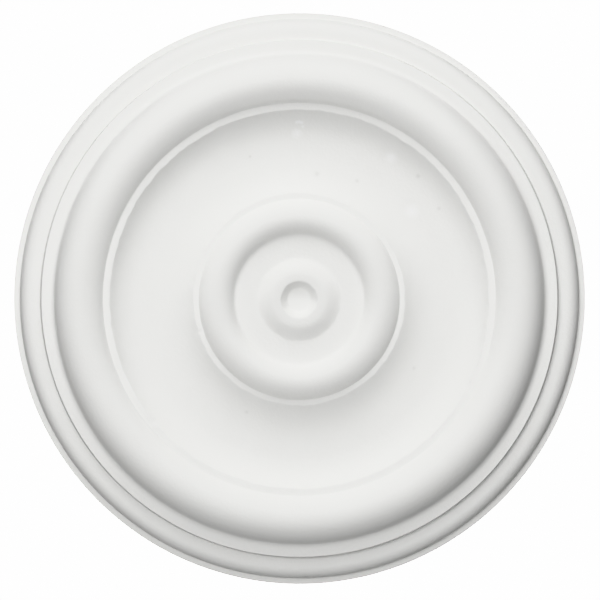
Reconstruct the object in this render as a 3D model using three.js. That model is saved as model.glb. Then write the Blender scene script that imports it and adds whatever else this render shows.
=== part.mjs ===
// Ceiling rose: one casting of white plaster with plain concentric mouldings on a flat back.
// Millimetres, +Z up. The back lies against the ceiling at z = 0, centred on the origin,
// and the mouldings hang below it.
import * as THREE from 'three';

// Radii from the centre of the rose, outwards.
const DIMPLE_FLOOR_RADIUS = 9.2;
const DIMPLE_MOUTH_RADIUS = 14.6;
const BOSS_CREST_RADIUS = 20.2;
const BOSS_FOOT_RADIUS = 33.1;
const SMALL_TORUS_CREST_RADIUS = 64.9;
const SMALL_FILLET_RADIUS = 84.3;
const DISH_BOTTOM_RADIUS = 120.9;
const FILLET_RADIUS = 150.8;
const TORUS_CREST_RADIUS = 174.6;
const STEP_RADIUS = 206;
const OVOLO_RADIUS = 224.8;
const ROSE_RADIUS = 230;

// Depths of the mouldings below the ceiling.
const RIM_DEPTH = 3.7;
const SHELF_DEPTH = 13.8;
const DISH_BOTTOM_DEPTH = 17.3;
const BAND_DEPTH = 19.9;
const DIMPLE_FLOOR_DEPTH = 26.3;
const SMALL_FILLET_DEPTH = 26.3;
const DISC_DEPTH = 26.9;
const DIMPLE_EDGE_DEPTH = 26.9;
const FILLET_DEPTH = 27.6;
const BOSS_CREST_DEPTH = 32;
const SMALL_TORUS_CREST_DEPTH = 34.9;
const TORUS_CREST_DEPTH = 37.4;

// Radii of the rounds and coves in the section, the ovolo's width and the lean of the step's riser.
const SMALL_TORUS_INNER_ROUND = 14.8;
const SMALL_TORUS_OUTER_ROUND = 17.5;
const SMALL_TORUS_COVE = 4.4;
const TORUS_ROUND = 21.8;
const TORUS_COVE = 4.9;
const OVOLO_WIDTH = 10.5;
const STEP_LEAN = 1.6;

// How sharply the boss leaves the disc, from 0 for an S-curve to 1 for a crease,
// and how late the dish turns up at its two edges.
const BOSS_CREASE = 0.6;
const DISH_INNER_TURN = 2.8;
const DISH_OUTER_TURN = 3.1;

// Flats cut around the rose, and spans along each curved moulding.
const SECTORS = 84;
const DIMPLE_FLOOR_SPANS = 2;
const BOSS_SPANS = 4;
const SMALL_TORUS_SPANS = 5;
const DISH_SPANS = 5;
const TORUS_INNER_SPANS = 5;
const TORUS_OUTER_SPANS = 6;
const COVE_SPANS = 3;
const OVOLO_SPANS = 5;

// Points nearer together than this count as one.
const SAME_POINT = 0.001;

// A place on the section: its radius from the axis, and its depth below the ceiling.
const at = (radius, depth) => new THREE.Vector2(radius, -depth);

// Points along a curve, worked out at equal parts of the way from its start (0) to its end (1).
function along(spans, place) {
  return Array.from({ length: spans + 1 }, (_, i) => place(i / spans));
}

// Part of a circle in the section, between two turns measured from straight down, outwards positive.
function round(centre, size, start, end, spans) {
  return along(spans, (part) => {
    const turn = THREE.MathUtils.lerp(start, end, part);
    return new THREE.Vector2(centre.x + size * Math.sin(turn), centre.y - size * Math.cos(turn));
  });
}

// A round from its crest to where it stands on a flat at the given depth.
// The side is 1 outwards from the crest and -1 inwards.
function roundOntoFlat(crest, size, depth, side, spans) {
  const centre = new THREE.Vector2(crest.x, crest.y + size);
  return round(centre, size, 0, side * Math.acos((centre.y + depth) / size), spans);
}

// A round from its crest into a cove that touches both it and a flat at the given depth.
// Their two centres are size + cove apart, which gives the turn where one hands over to the other.
function roundIntoCove(crest, size, cove, depth, side, spans) {
  const centre = new THREE.Vector2(crest.x, crest.y + size);
  const meeting = side * Math.acos((centre.y + depth + cove) / (size + cove));
  const hollow = at(centre.x + (size + cove) * Math.sin(meeting), depth + cove);
  return [...round(centre, size, 0, meeting, spans), ...round(hollow, -cove, meeting, 0, COVE_SPANS)];
}

// A curve whose radius changes evenly and whose depth follows an easing from 0 to 1.
function eased(start, end, ease, spans) {
  return along(spans, (part) => new THREE.Vector2(
    THREE.MathUtils.lerp(start.x, end.x, part),
    THREE.MathUtils.lerp(start.y, end.y, ease(part)),
  ));
}

// A quarter-round: level where it leaves the shelf, and upright where it meets the rim.
function quarterRound(shelf, rim, spans) {
  return along(spans, (part) => new THREE.Vector2(
    THREE.MathUtils.lerp(shelf.x, rim.x, Math.sin(part * Math.PI / 2)),
    THREE.MathUtils.lerp(rim.y, shelf.y, Math.cos(part * Math.PI / 2)),
  ));
}

// Easings: the dimple's dished floor, a swell with a creased foot, and the dish's two sides.
const dished = (part) => part ** 2;
const swell = (part) => THREE.MathUtils.lerp(
  THREE.MathUtils.smoothstep(part, 0, 1),
  Math.sin(part * Math.PI / 2),
  BOSS_CREASE,
);
const innerTurn = (part) => part ** DISH_INNER_TURN;
const outerTurn = (part) => part ** DISH_OUTER_TURN;

// The section, from the middle of the dimple outwards to the rim and back along the ceiling to the axis.
const dimpleMiddle = at(0, DIMPLE_FLOOR_DEPTH);
const dimpleEdge = at(DIMPLE_FLOOR_RADIUS, DIMPLE_EDGE_DEPTH);
const bossCrest = at(BOSS_CREST_RADIUS, BOSS_CREST_DEPTH);
const bossFoot = at(BOSS_FOOT_RADIUS, DISC_DEPTH);
const smallTorusCrest = at(SMALL_TORUS_CREST_RADIUS, SMALL_TORUS_CREST_DEPTH);
const smallFilletEdge = at(SMALL_FILLET_RADIUS, SMALL_FILLET_DEPTH);
const dishBottom = at(DISH_BOTTOM_RADIUS, DISH_BOTTOM_DEPTH);
const filletEdge = at(FILLET_RADIUS, FILLET_DEPTH);
const torusCrest = at(TORUS_CREST_RADIUS, TORUS_CREST_DEPTH);
const ovoloStart = at(OVOLO_RADIUS - OVOLO_WIDTH, SHELF_DEPTH);
const ovoloFoot = at(OVOLO_RADIUS, RIM_DEPTH);

const section = [
  ...eased(dimpleMiddle, dimpleEdge, dished, DIMPLE_FLOOR_SPANS),
  at(DIMPLE_MOUTH_RADIUS, BOSS_CREST_DEPTH),
  ...eased(bossFoot, bossCrest, swell, BOSS_SPANS).reverse(),
  ...roundIntoCove(
    smallTorusCrest, SMALL_TORUS_INNER_ROUND, SMALL_TORUS_COVE, DISC_DEPTH, -1, SMALL_TORUS_SPANS,
  ).reverse(),
  ...roundOntoFlat(smallTorusCrest, SMALL_TORUS_OUTER_ROUND, SMALL_FILLET_DEPTH, 1, SMALL_TORUS_SPANS),
  ...eased(dishBottom, smallFilletEdge, innerTurn, DISH_SPANS).reverse(),
  ...eased(dishBottom, filletEdge, outerTurn, DISH_SPANS),
  ...roundOntoFlat(torusCrest, TORUS_ROUND, FILLET_DEPTH, -1, TORUS_INNER_SPANS).reverse(),
  ...roundIntoCove(torusCrest, TORUS_ROUND, TORUS_COVE, BAND_DEPTH, 1, TORUS_OUTER_SPANS),
  at(STEP_RADIUS, BAND_DEPTH),
  at(STEP_RADIUS + STEP_LEAN, SHELF_DEPTH),
  ...quarterRound(ovoloStart, ovoloFoot, OVOLO_SPANS),
  at(ROSE_RADIUS, RIM_DEPTH),
  at(ROSE_RADIUS, 0),
  at(0, 0),
];

// Neighbouring curves share their end points, so each point is kept once.
const outline = section.filter((point, i) => i === 0 || point.distanceTo(section[i - 1]) > SAME_POINT);

const geometry = new THREE.LatheGeometry(outline, SECTORS);
geometry.rotateX(Math.PI / 2);

const plaster = new THREE.MeshStandardMaterial({ color: 0xf1f0ed, roughness: 0.9, metalness: 0 });
const rose = new THREE.Mesh(geometry, plaster);
rose.name = 'ceiling_rose';

const group = new THREE.Group();
group.add(rose);

export default group;
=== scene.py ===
import math

import bpy
import numpy as np
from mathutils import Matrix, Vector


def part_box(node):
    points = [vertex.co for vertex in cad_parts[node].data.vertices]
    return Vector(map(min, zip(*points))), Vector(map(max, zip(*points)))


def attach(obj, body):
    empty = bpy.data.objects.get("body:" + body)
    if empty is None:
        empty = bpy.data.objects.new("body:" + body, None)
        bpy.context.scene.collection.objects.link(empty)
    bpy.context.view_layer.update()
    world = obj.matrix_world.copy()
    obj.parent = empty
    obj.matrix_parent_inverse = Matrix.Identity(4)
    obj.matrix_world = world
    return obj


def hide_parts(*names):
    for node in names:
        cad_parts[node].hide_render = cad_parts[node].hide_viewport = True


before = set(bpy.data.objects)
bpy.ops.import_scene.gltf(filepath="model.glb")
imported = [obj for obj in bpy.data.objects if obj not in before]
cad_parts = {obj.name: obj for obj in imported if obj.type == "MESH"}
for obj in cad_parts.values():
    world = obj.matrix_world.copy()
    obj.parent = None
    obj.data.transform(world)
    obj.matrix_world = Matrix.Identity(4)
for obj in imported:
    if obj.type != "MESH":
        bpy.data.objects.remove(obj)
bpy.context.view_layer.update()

# Ceiling rose
# One casting of white gypsum plaster, poured into a mould taken from a run model, struck off flat
# at the back and bedded on the ceiling. Its mouldings are plain rings, a little soft at the arrises.
# Sizes are millimetres: radii from the centre, and depths below the ceiling.
MM = 0.001
rose_low, rose_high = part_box("ceiling_rose")

DIMPLE_FLOOR_RADIUS = 9.2
DIMPLE_MOUTH_RADIUS = 14.6
BOSS_CREST_RADIUS = 20.2
BOSS_FOOT_RADIUS = 33.1
SMALL_TORUS_CREST_RADIUS = 64.9
SMALL_FILLET_RADIUS = 84.3
DISH_BOTTOM_RADIUS = 120.9
FILLET_RADIUS = 150.8
TORUS_CREST_RADIUS = 174.6
STEP_RADIUS = 206.0
OVOLO_RADIUS = 224.8
ROSE_RADIUS = rose_high.x / MM

RIM_DEPTH = 3.7
SHELF_DEPTH = 13.8
DISH_BOTTOM_DEPTH = 17.3
BAND_DEPTH = 19.9
DIMPLE_FLOOR_DEPTH = 26.3
SMALL_FILLET_DEPTH = 26.3
DISC_DEPTH = 26.9
DIMPLE_EDGE_DEPTH = 26.9
FILLET_DEPTH = 27.6
BOSS_CREST_DEPTH = 32.0
SMALL_TORUS_CREST_DEPTH = 34.9
TORUS_CREST_DEPTH = -rose_low.z / MM

# Radii of the rounds and coves in the section, the ovolo's width and the lean of the step's riser.
SMALL_TORUS_INNER_ROUND = 14.8
SMALL_TORUS_OUTER_ROUND = 17.5
SMALL_TORUS_COVE = 4.4
TORUS_ROUND = 21.8
TORUS_COVE = 4.9
OVOLO_WIDTH = 10.5
STEP_LEAN = 1.6

# How sharply the boss leaves the disc, from 0 for an S-curve to 1 for a crease,
# and how late the dish turns at its two edges.
BOSS_CREASE = 0.6
DISH_INNER_TURN = 2.8
DISH_OUTER_TURN = 3.1
CURVE_POINTS = 60


def arc(centre, size, start, end):
    """Part of a circle in the section: turns are measured from straight down, outwards positive."""
    turn = np.linspace(start, end, CURVE_POINTS)
    return np.column_stack([centre[0] + size * np.sin(turn), centre[1] + size * np.cos(turn)])


def round_onto_flat(crest, size, level, side):
    """Round from its crest to where it stands on a flat at the given depth.

    side is 1 outwards from the crest and -1 inwards."""
    centre = (crest[0], crest[1] - size)
    return arc(centre, size, 0, side * math.acos((level - centre[1]) / size))


def round_into_cove(crest, size, cove, level, side):
    """Round from its crest into a cove that touches both it and a flat at the given depth.

    The two centres are size + cove apart, which gives the turn where the round meets the cove."""
    centre = (crest[0], crest[1] - size)
    meeting = side * math.acos((level + cove - centre[1]) / (size + cove))
    hollow = (crest[0] + (size + cove) * math.sin(meeting), level + cove)
    return np.vstack([arc(centre, size, 0, meeting), arc(hollow, -cove, meeting, 0)])


def eased(start, end, ease):
    """Curve between two places: its radius changes evenly as t goes from 0 to 1, its depth as ease(t)."""
    t = np.linspace(0, 1, CURVE_POINTS)
    radius = start[0] + (end[0] - start[0]) * t
    depth = start[1] + (end[1] - start[1]) * ease(t)
    return np.column_stack([radius, depth])


def swell(t):
    """Rise with a crease at its foot and a level top: a smooth step mixed with a quarter sine."""
    return (1 - BOSS_CREASE) * t ** 2 * (3 - 2 * t) + BOSS_CREASE * np.sin(math.pi * t / 2)


def quarter_round(shelf, foot):
    """Quarter of an ellipse, level at the shelf and upright at its foot."""
    turn = np.linspace(0, math.pi / 2, CURVE_POINTS)
    radius = shelf[0] + (foot[0] - shelf[0]) * np.sin(turn)
    depth = foot[1] + (shelf[1] - foot[1]) * np.cos(turn)
    return np.column_stack([radius, depth])


boss_crest = (BOSS_CREST_RADIUS, BOSS_CREST_DEPTH)
boss_foot = (BOSS_FOOT_RADIUS, DISC_DEPTH)
small_torus_crest = (SMALL_TORUS_CREST_RADIUS, SMALL_TORUS_CREST_DEPTH)
dish_bottom = (DISH_BOTTOM_RADIUS, DISH_BOTTOM_DEPTH)
torus_crest = (TORUS_CREST_RADIUS, TORUS_CREST_DEPTH)

# The section runs from the middle of the dimple outwards to the rim, and back along the ceiling.
section = np.vstack([
    eased((0, DIMPLE_FLOOR_DEPTH), (DIMPLE_FLOOR_RADIUS, DIMPLE_EDGE_DEPTH), lambda t: t ** 2),
    [(DIMPLE_MOUTH_RADIUS, BOSS_CREST_DEPTH)],
    eased(boss_foot, boss_crest, swell)[::-1],
    round_into_cove(small_torus_crest, SMALL_TORUS_INNER_ROUND, SMALL_TORUS_COVE, DISC_DEPTH, -1)[::-1],
    round_onto_flat(small_torus_crest, SMALL_TORUS_OUTER_ROUND, SMALL_FILLET_DEPTH, 1),
    eased(dish_bottom, (SMALL_FILLET_RADIUS, SMALL_FILLET_DEPTH), lambda t: t ** DISH_INNER_TURN)[::-1],
    eased(dish_bottom, (FILLET_RADIUS, FILLET_DEPTH), lambda t: t ** DISH_OUTER_TURN),
    round_onto_flat(torus_crest, TORUS_ROUND, FILLET_DEPTH, -1)[::-1],
    round_into_cove(torus_crest, TORUS_ROUND, TORUS_COVE, BAND_DEPTH, 1),
    [(STEP_RADIUS, BAND_DEPTH), (STEP_RADIUS + STEP_LEAN, SHELF_DEPTH)],
    quarter_round((OVOLO_RADIUS - OVOLO_WIDTH, SHELF_DEPTH), (OVOLO_RADIUS, RIM_DEPTH)),
    [(ROSE_RADIUS, RIM_DEPTH), (ROSE_RADIUS, 0), (0, 0)],
])

# The arrises are rounded as a moving average along the section does, the step's much less than the rest.
# The rows of the mesh are set closer where the section bends, and wide apart on the flat back.
ARRIS_ROUND = 0.45
STEP_ROUND = 0.15
STEP_REACH = 5.0
BELL_CUT = 4
SAMPLE_STEP = 0.1
FRONT_ROW = 2.0
BACK_ROW = 11.0
BEND_PER_ROW = math.radians(9)
ROWS = 206
SECTORS = 480


def softened(profile, spread):
    """Profile sampled evenly along its length, then blurred along it by a bell curve.

    The bell has the given spread and is cut off at BELL_CUT spreads. Past its two ends
    the profile goes on as its own mirror image across the axis."""
    length = np.concatenate([[0], np.cumsum(np.hypot(*np.diff(profile, axis=0).T))])
    even = np.linspace(0, length[-1], int(length[-1] / SAMPLE_STEP))
    reach = int(BELL_CUT * spread / SAMPLE_STEP)
    bell = np.exp(-0.5 * (np.arange(-reach, reach + 1) * SAMPLE_STEP / spread) ** 2)
    bell /= bell.sum()
    radius = np.interp(even, length, profile[:, 0])
    depth = np.interp(even, length, profile[:, 1])
    radius = np.convolve(np.pad(radius, reach, "reflect", reflect_type="odd"), bell, "valid")
    depth = np.convolve(np.pad(depth, reach, "reflect"), bell, "valid")
    return np.column_stack([radius, depth])


def spaced_rows(profile):
    """Radius and depth of each row, picked so that every row covers an equal share of length and bend."""
    step = np.gradient(profile, axis=0)
    bend = np.abs(np.gradient(np.unwrap(np.arctan2(step[:, 1], step[:, 0]))))
    longest = np.where(profile[:, 1] < SAMPLE_STEP, BACK_ROW, FRONT_ROW)
    share = np.cumsum(np.hypot(*step.T) / longest + bend / BEND_PER_ROW)
    index = np.arange(len(profile))
    place = np.interp(np.linspace(share[0], share[-1], ROWS), share, index)
    return np.interp(place, index, profile[:, 0]), np.interp(place, index, profile[:, 1])


soft_section = softened(section, ARRIS_ROUND)
crisp_section = softened(section, STEP_ROUND)
crispness = np.exp(-((soft_section[:, :1] - STEP_RADIUS) / STEP_REACH) ** 4)
row_radius, row_depth = spaced_rows(soft_section + crispness * (crisp_section - soft_section))
row_radius[[0, -1]] = 0
around = np.linspace(0, 2 * math.pi, SECTORS, endpoint=False)
radius_grid = np.repeat(row_radius[:, None], SECTORS, axis=1)
depth_grid = np.repeat(row_depth[:, None], SECTORS, axis=1)

# The arrises waver as a hand-run model's do: a ring's radius, its depth and how far it strays.
# The waver fades within WAVER_REACH of the arris, and waves shorter than about four times WAVER_LENGTH
# are faded out of it.
WAVERING_ARRISES = (
    (DIMPLE_MOUTH_RADIUS, BOSS_CREST_DEPTH, 0.15),
    (BOSS_FOOT_RADIUS, DISC_DEPTH, 0.2),
    (SMALL_FILLET_RADIUS, SMALL_FILLET_DEPTH, 0.2),
    (FILLET_RADIUS, FILLET_DEPTH, 0.2),
)
WAVER_LENGTH = 2.0
WAVER_REACH = 3.0
WAVES = 160


def waver(radius, seed):
    """Wandering line round a ring, of unit spread: cosine waves of random phase, the short ones faded."""
    phase = np.random.default_rng(seed).uniform(0, 2 * math.pi, (WAVES, 1))
    count = np.arange(1, WAVES + 1)[:, None]
    strength = np.exp(-0.5 * (count * WAVER_LENGTH / radius) ** 2)
    line = (strength * np.cos(count * around + phase)).sum(axis=0)
    return line / line.std()


for seed, (radius, depth, stray) in enumerate(WAVERING_ARRISES):
    nearness = np.exp(-np.hypot(row_radius - radius, row_depth - depth) ** 2 / WAVER_REACH ** 2)
    radius_grid += nearness[:, None] * stray * waver(radius, seed)

# Nicks and lumps, one of them a long fill in the corner between the fillet and the torus: clock angle
# from the top of the picture, radius, spread along and across the ring, and depth, negative for a lump.
NICKS = (
    (117, 151.0, 4.0, 1.2, 0.8),
    (230, 151.0, 3.0, 1.0, 0.6),
    (2, 158.0, 85.0, 3.0, -0.9),
    (30, 84.5, 2.5, 1.2, 0.7),
    (252, 84.0, 1.6, 1.2, 0.5),
    (299, 85.0, 3.0, 1.2, -0.6),
    (190, 81.5, 7.0, 1.2, 0.5),
    (137, 186.0, 1.4, 0.9, 0.6),
    (201, 179.5, 3.5, 0.8, 0.3),
    (223, 205.8, 2.0, 0.8, 0.7),
)


def turn_at(clock):
    """Turn about the axis, from +X, of a clock angle in the picture, whose top is -Y."""
    return math.radians(clock - 90)


front_rows = (row_depth > RIM_DEPTH / 2)[:, None]
for clock, radius, along, across, deep in NICKS:
    away = (around - turn_at(clock) + math.pi) % (2 * math.pi) - math.pi
    dent = np.exp(-(away * radius / along) ** 2) * np.exp(-((row_radius[:, None] - radius) / across) ** 2)
    depth_grid -= front_rows * deep * dent

# The back was dragged level with a straight edge, which leaves shallow waves across it.
# They die out towards the edge of the rim.
DRAG_WAVES_MM = (43.0, 67.0, 109.0)
DRAG_DEPTH = 0.5
back_rows = (row_depth < SAMPLE_STEP)[:, None]
across_drag = radius_grid * np.cos(around)
waves = sum(np.sin(2 * math.pi * across_drag / wave + wave) for wave in DRAG_WAVES_MM) / len(DRAG_WAVES_MM)
inside_edge = np.clip((ROSE_RADIUS - radius_grid) / BACK_ROW, 0, 1)
depth_grid += back_rows * inside_edge * DRAG_DEPTH * (1 + waves) / 2


def lathe_mesh(name, radius, depth):
    """Mesh of a turned form: rows of points go round the axis, and both ends close in a fan to one point.

    radius and depth are grids of rows by sectors, in millimetres, whose first and last row lie
    on the axis."""
    rings = np.stack([radius * np.cos(around), radius * np.sin(around), -depth], axis=-1)[1:-1]
    ring_count, sectors = rings.shape[:2]
    poles = np.array([[0, 0, -depth[0].mean()], [0, 0, -depth[-1].mean()]])
    points = np.vstack([rings.reshape(-1, 3), poles]) * MM
    here = np.arange(sectors)
    after = np.roll(here, -1)
    row = np.arange(ring_count - 1)[:, None] * sectors
    next_row = row + sectors
    quads = np.stack([row + here, row + after, next_row + after, next_row + here], axis=-1).reshape(-1, 4)
    pole = ring_count * sectors
    last = (ring_count - 1) * sectors
    fans = np.vstack([np.column_stack([np.full(sectors, pole), after, here]),
                      np.column_stack([np.full(sectors, pole + 1), last + here, last + after])])
    sides = np.concatenate([np.full(len(quads), 4), np.full(len(fans), 3)])
    mesh = bpy.data.meshes.new(name)
    mesh.vertices.add(len(points))
    mesh.vertices.foreach_set("co", points.ravel())
    mesh.loops.add(sides.sum())
    mesh.loops.foreach_set("vertex_index", np.concatenate([quads.ravel(), fans.ravel()]))
    mesh.polygons.add(len(sides))
    mesh.polygons.foreach_set("loop_start", np.cumsum(sides) - sides)
    mesh.polygons.foreach_set("use_smooth", np.ones(len(sides), dtype=bool))
    mesh.update(calc_edges=True)
    mesh.validate()
    return mesh


rose_mesh = lathe_mesh("ceiling_rose_casting", radius_grid, depth_grid)
rose = bpy.data.objects.new("ceiling_rose_casting", rose_mesh)
bpy.context.scene.collection.objects.link(rose)


def linear(hex_colour):
    """sRGB hex value to linear RGBA: each channel is undone from the display curve."""
    channels = np.array([int(hex_colour[i:i + 2], 16) for i in (1, 3, 5)]) / 255
    straight = np.where(channels <= 0.04045, channels / 12.92, ((channels + 0.055) / 1.055) ** 2.4)
    return (*straight.tolist(), 1.0)


def add_node(tree, kind, settings=None, values=None, links=None):
    """Adds a node, sets its properties and socket values, and links other nodes' outputs to its inputs."""
    node = tree.nodes.new(kind)
    for name, value in (settings or {}).items():
        setattr(node, name, value)
    for name, value in (values or {}).items():
        node.inputs[name].default_value = value
    for name, output in (links or {}).items():
        tree.links.new(output, node.inputs[name])
    return node


# Cast gypsum plaster: a dead white, matt and faintly chalky, with a soft cloudy tone and a dusty grain.
# The back shows the drag of the straight edge, and air pits of many sizes, most of them tiny.
# Grain, drag and pits are drawn coarser than the real ones, which would be too fine to show.
PLASTER_LIGHT = "#f4f4f2"
PLASTER_CLOUD = "#f1f1ef"
PLASTER_IOR = 1.52
PLASTER_ROUGHNESS = 0.9
PLASTER_GLOSS = 0.25
CLOUD_SIZE_MM = 45.0
CLOUD_DETAIL = 4.0
GRAIN_SIZE_MM = 2.5
GRAIN_DETAIL = 2.0
GRAIN_HEIGHT_MM = 0.15
DRAG_LENGTH_MM = 90.0
DRAG_BREADTH_MM = 4.0
DRAG_DETAIL = 3.0
DRAG_HEIGHT_MM = 0.6
PIT_SPACING_MM = 13.0
PIT_RADIUS_MM = 2.4
PIT_RARITY = 3.0
PIT_DEPTH_MM = 1.0

# The relief of the back sets in between these two depths on the edge of the rim.
BACK_RELIEF_NONE_MM = 2.0
BACK_RELIEF_FULL_MM = 1.0

# Faint grey smudges on the face, and white painted highlights where small lumps in the dish would catch
# the light: clock angle from the top of the picture, radius, size, strength and colour.
SMUDGE = "#8f8c88"
# White for the painted highlights, which stand in for light caught by small lumps in the dish.
PAINTED_HIGHLIGHT = "#ffffff"
SMUDGES_AND_HIGHLIGHTS = (
    (8, 101.0, 4.0, 0.16, SMUDGE),
    (26, 105.0, 3.0, 0.13, SMUDGE),
    (341, 120.5, 1.6, 0.16, SMUDGE),
    (44, 136.5, 3.0, 0.13, SMUDGE),
    (57, 133.0, 2.6, 0.12, SMUDGE),
    (121, 107.0, 2.4, 0.10, SMUDGE),
    (205, 99.5, 2.4, 0.10, SMUDGE),
    (359.2, 141.3, 2.4, 0.9, PAINTED_HIGHLIGHT),
    (0, 141.5, 2.4, 0.9, PAINTED_HIGHLIGHT),
    (0.8, 141.0, 2.4, 0.9, PAINTED_HIGHLIGHT),
    (1.2, 138.0, 2.0, 0.6, PAINTED_HIGHLIGHT),
    (359.2, 132.5, 6.0, 0.5, PAINTED_HIGHLIGHT),
    (33, 135.0, 7.0, 0.5, PAINTED_HIGHLIGHT),
    (52, 114.0, 8.0, 0.6, PAINTED_HIGHLIGHT),
)
face_rows = row_depth > RIM_DEPTH
face_radius = row_radius[face_rows]
face_depth = row_depth[face_rows]

plaster = bpy.data.materials.new("cast gypsum plaster")
plaster.use_nodes = True
tree = plaster.node_tree
tree.nodes.clear()
place = add_node(tree, "ShaderNodeTexCoord").outputs["Object"]

clouds = add_node(tree, "ShaderNodeTexNoise",
                  values={"Scale": 1 / (CLOUD_SIZE_MM * MM), "Detail": CLOUD_DETAIL},
                  links={"Vector": place}).outputs["Fac"]
tone = add_node(tree, "ShaderNodeMix", {"data_type": "RGBA"},
                {"A": linear(PLASTER_LIGHT), "B": linear(PLASTER_CLOUD)},
                {"Factor": clouds}).outputs["Result"]
# Each mark mixes its colour into the plaster's tone: the grey ones are stains, the white ones painted
# highlights.
for clock, radius, size, strength, colour in SMUDGES_AND_HIGHLIGHTS:
    turn = turn_at(clock)
    depth = np.interp(radius, face_radius, face_depth)
    centre = (radius * math.cos(turn) * MM, radius * math.sin(turn) * MM, -depth * MM)
    away = add_node(tree, "ShaderNodeVectorMath", {"operation": "DISTANCE"}, {1: centre},
                    {0: place}).outputs["Value"]
    share = add_node(tree, "ShaderNodeMapRange", {"interpolation_type": "SMOOTHSTEP"},
                     {"From Max": size * MM, "To Min": strength, "To Max": 0.0},
                     {"Value": away}).outputs["Result"]
    tone = add_node(tree, "ShaderNodeMix", {"data_type": "RGBA"}, {"B": linear(colour)},
                    {"A": tone, "Factor": share}).outputs["Result"]

grain = add_node(tree, "ShaderNodeTexNoise",
                 values={"Scale": 1 / (GRAIN_SIZE_MM * MM), "Detail": GRAIN_DETAIL},
                 links={"Vector": place}).outputs["Fac"]
grain_relief = add_node(tree, "ShaderNodeBump",
                        values={"Strength": 1.0, "Distance": GRAIN_HEIGHT_MM * MM},
                        links={"Height": grain}).outputs["Normal"]

height = add_node(tree, "ShaderNodeSeparateXYZ", links={"Vector": place}).outputs["Z"]
on_back = add_node(tree, "ShaderNodeMapRange",
                   values={"From Min": -BACK_RELIEF_NONE_MM * MM, "From Max": -BACK_RELIEF_FULL_MM * MM},
                   links={"Value": height}).outputs["Result"]
drag_scale = (1 / (DRAG_BREADTH_MM * MM), 1 / (DRAG_LENGTH_MM * MM), 1.0)
drag_place = add_node(tree, "ShaderNodeMapping", values={"Scale": drag_scale},
                      links={"Vector": place}).outputs["Vector"]
drag = add_node(tree, "ShaderNodeTexNoise", values={"Scale": 1.0, "Detail": DRAG_DETAIL},
                links={"Vector": drag_place}).outputs["Fac"]
drag_links = {"Height": drag, "Strength": on_back, "Normal": grain_relief}
drag_relief = add_node(tree, "ShaderNodeBump", values={"Distance": DRAG_HEIGHT_MM * MM},
                       links=drag_links).outputs["Normal"]

# Each cell of the pattern holds one pit, whose radius is a random share of the largest. The share is
# an even draw from 0 to 1 raised to the power PIT_RARITY, so large pits are rare.
pit_cells = add_node(tree, "ShaderNodeTexVoronoi", values={"Scale": 1 / (PIT_SPACING_MM * MM)},
                     links={"Vector": place}).outputs
pit_share = add_node(tree, "ShaderNodeMath", {"operation": "POWER"}, {1: PIT_RARITY},
                     {0: pit_cells["Color"]}).outputs["Value"]
pit_edge = add_node(tree, "ShaderNodeMath", {"operation": "MULTIPLY"}, {1: PIT_RADIUS_MM / PIT_SPACING_MM},
                    {0: pit_share}).outputs["Value"]
pits = add_node(tree, "ShaderNodeMapRange", {"interpolation_type": "SMOOTHSTEP"},
                links={"From Max": pit_edge, "Value": pit_cells["Distance"]}).outputs["Result"]
pit_links = {"Height": pits, "Strength": on_back, "Normal": drag_relief}
pit_relief = add_node(tree, "ShaderNodeBump", values={"Distance": PIT_DEPTH_MM * MM},
                      links=pit_links).outputs["Normal"]

finish = {"Roughness": PLASTER_ROUGHNESS, "IOR": PLASTER_IOR, "Specular IOR Level": PLASTER_GLOSS}
shader = add_node(tree, "ShaderNodeBsdfPrincipled", values=finish,
                  links={"Base Color": tone, "Normal": pit_relief}).outputs["BSDF"]
add_node(tree, "ShaderNodeOutputMaterial", links={"Surface": shader})
rose.data.materials.append(plaster)

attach(rose, "root")
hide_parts("ceiling_rose")

# Camera
# The view is from the room below, looking up at the rose about a degree off its axis.
# The top of the picture is -Y and the right of it +X.
PICTURE_SIZE = 600
OUTLINE_RADIUS_PX = 285.5
OUTLINE_CENTRE_PX = (299.4, 298.9)
CAMERA_DISTANCE = 2.2
CAMERA_TILT = math.radians(0.9)
CAMERA_SIDE = math.radians(0.4)
SENSOR_WIDTH_MM = 36.0

camera_data = bpy.data.cameras.new("camera")
camera_data.sensor_width = SENSOR_WIDTH_MM
focal_px = OUTLINE_RADIUS_PX * CAMERA_DISTANCE / rose_high.x
camera_data.lens = SENSOR_WIDTH_MM * focal_px / PICTURE_SIZE
camera_data.shift_x = 0.5 - OUTLINE_CENTRE_PX[0] / PICTURE_SIZE
camera_data.shift_y = OUTLINE_CENTRE_PX[1] / PICTURE_SIZE - 0.5
camera = bpy.data.objects.new("camera", camera_data)
camera.location = (CAMERA_DISTANCE * math.cos(CAMERA_TILT) * math.sin(CAMERA_SIDE),
                   -CAMERA_DISTANCE * math.sin(CAMERA_TILT),
                   -CAMERA_DISTANCE * math.cos(CAMERA_TILT) * math.cos(CAMERA_SIDE))
camera.rotation_euler = (math.pi - CAMERA_TILT, -CAMERA_SIDE, 0.0)
bpy.context.scene.collection.objects.link(camera)
bpy.context.scene.camera = camera

# Studio
# A pale floor lies far below, and throws no light back onto the rose. It glows a little, so that
# it stays pale from above.
FLOOR_DROP = 4.6
FLOOR_RADIUS = 5.0
FLOOR_SIDES = 64
FLOOR_COLOUR = "#dedcd9"
FLOOR_ROUGHNESS = 0.8
FLOOR_GLOW = 0.5

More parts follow.
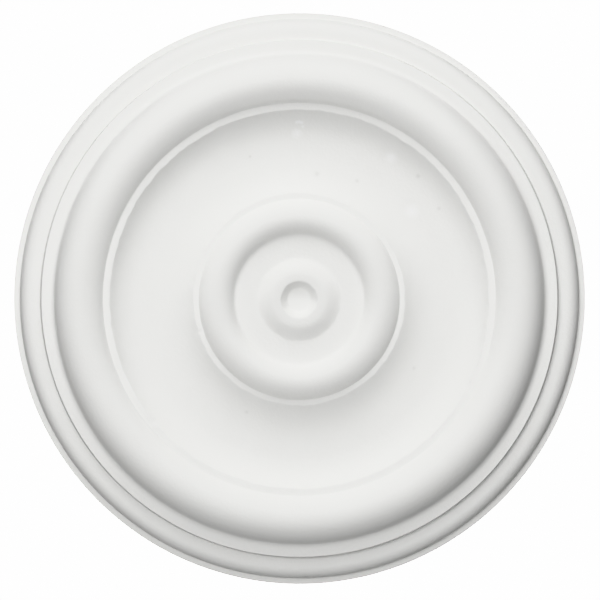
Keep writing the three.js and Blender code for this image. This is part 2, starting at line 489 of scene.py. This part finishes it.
floor_turn = np.linspace(0, 2 * math.pi, FLOOR_SIDES, endpoint=False)
floor_points = np.column_stack([FLOOR_RADIUS * np.cos(floor_turn), FLOOR_RADIUS * np.sin(floor_turn),
                                np.full(FLOOR_SIDES, -FLOOR_DROP)])
floor_mesh = bpy.data.meshes.new("floor")
floor_mesh.from_pydata(floor_points.tolist(), [], [list(range(FLOOR_SIDES))])
floor = bpy.data.objects.new("floor", floor_mesh)
floor.visible_diffuse = False
bpy.context.scene.collection.objects.link(floor)
floor_paint = bpy.data.materials.new("pale floor paint")
floor_paint.use_nodes = True
paint = floor_paint.node_tree
paint.nodes.clear()
floor_finish = {"Base Color": linear(FLOOR_COLOUR), "Roughness": FLOOR_ROUGHNESS,
                "Emission Color": linear(FLOOR_COLOUR), "Emission Strength": FLOOR_GLOW}
floor_shader = add_node(paint, "ShaderNodeBsdfPrincipled", values=floor_finish).outputs["BSDF"]
add_node(paint, "ShaderNodeOutputMaterial", links={"Surface": floor_shader})
floor_mesh.materials.append(floor_paint)

# Soft lamps stand round the axis below the rose. Two more above light its back and the edge of the rim.
LAMP_DISTANCE = 4.0
LAMP_SPREAD = math.radians(10)


def soft_lamp(name, off_axis, from_top, power):
    """Disc lamp aimed at the rose: off_axis degrees from straight below, and from_top degrees round
    to the left from the top of the picture. Its size is given by LAMP_SPREAD, half the angle it fills."""
    tilt = math.radians(off_axis)
    swing = math.radians(from_top)
    lamp_data = bpy.data.lights.new(name, "AREA")
    lamp_data.shape = "DISK"
    lamp_data.size = 2 * LAMP_DISTANCE * math.tan(LAMP_SPREAD)
    lamp_data.energy = power
    lamp = bpy.data.objects.new(name, lamp_data)
    lamp.location = (-LAMP_DISTANCE * math.sin(tilt) * math.sin(swing),
                     -LAMP_DISTANCE * math.sin(tilt) * math.cos(swing),
                     -LAMP_DISTANCE * math.cos(tilt))
    lamp.rotation_euler = (math.pi - tilt, 0.0, -swing)
    lamp.visible_camera = False
    bpy.context.scene.collection.objects.link(lamp)


soft_lamp("near top", 25, 0, 24.7)
soft_lamp("near left", 25, 60, 40.3)
soft_lamp("near low right", 25, 240, 24.8)
soft_lamp("key left", 44, 14, 11.4)
soft_lamp("key right", 44, -14, 8.8)
soft_lamp("top left", 60, 14, 26.0)
soft_lamp("top right", 60, -14, 20.2)
soft_lamp("rim top left", 70, 14, 19.2)
soft_lamp("rim top right", 70, -14, 15.6)
soft_lamp("fill low left", 50, 140, 17.3)
soft_lamp("fill low", 50, 180, 6.3)
soft_lamp("fill low right", 50, 220, 2.9)
soft_lamp("rim low", 72, 180, 8.5)
soft_lamp("back right", 140, 250, 130.0)
soft_lamp("back left", 140, 115, 60.0)

# The surround is a pale grey that is seen but gives no light. Straight overhead it is far brighter
# than white, so it stays pure white under the view transform, which eases the highlights down.
# The change to white lies between two heights of the line of sight, which is 1 straight up.
SURROUND_COLOUR = "#d4d4d4"
OVERHEAD_GLARE = 12.0
GLARE_NONE = 0.8
GLARE_FULL = 0.97

world = bpy.data.worlds.new("pale surround")
world.use_nodes = True
air = world.node_tree
air.nodes.clear()
direction = add_node(air, "ShaderNodeTexCoord").outputs["Generated"]
upward = add_node(air, "ShaderNodeSeparateXYZ", links={"Vector": direction}).outputs["Z"]
glare = {"From Min": GLARE_NONE, "From Max": GLARE_FULL, "To Min": 1.0, "To Max": OVERHEAD_GLARE}
brightness = add_node(air, "ShaderNodeMapRange", {"interpolation_type": "SMOOTHSTEP"}, glare,
                      {"Value": upward}).outputs["Result"]
seen = add_node(air, "ShaderNodeLightPath").outputs["Is Camera Ray"]
seen_brightness = add_node(air, "ShaderNodeMath", {"operation": "MULTIPLY"},
                           links={0: brightness, 1: seen}).outputs["Value"]
glow = add_node(air, "ShaderNodeBackground", values={"Color": linear(SURROUND_COLOUR)},
                links={"Strength": seen_brightness}).outputs["Background"]
add_node(air, "ShaderNodeOutputWorld", links={"Surface": glow})
bpy.context.scene.world = world
bpy.context.scene.view_settings.view_transform = "Khronos PBR Neutral"
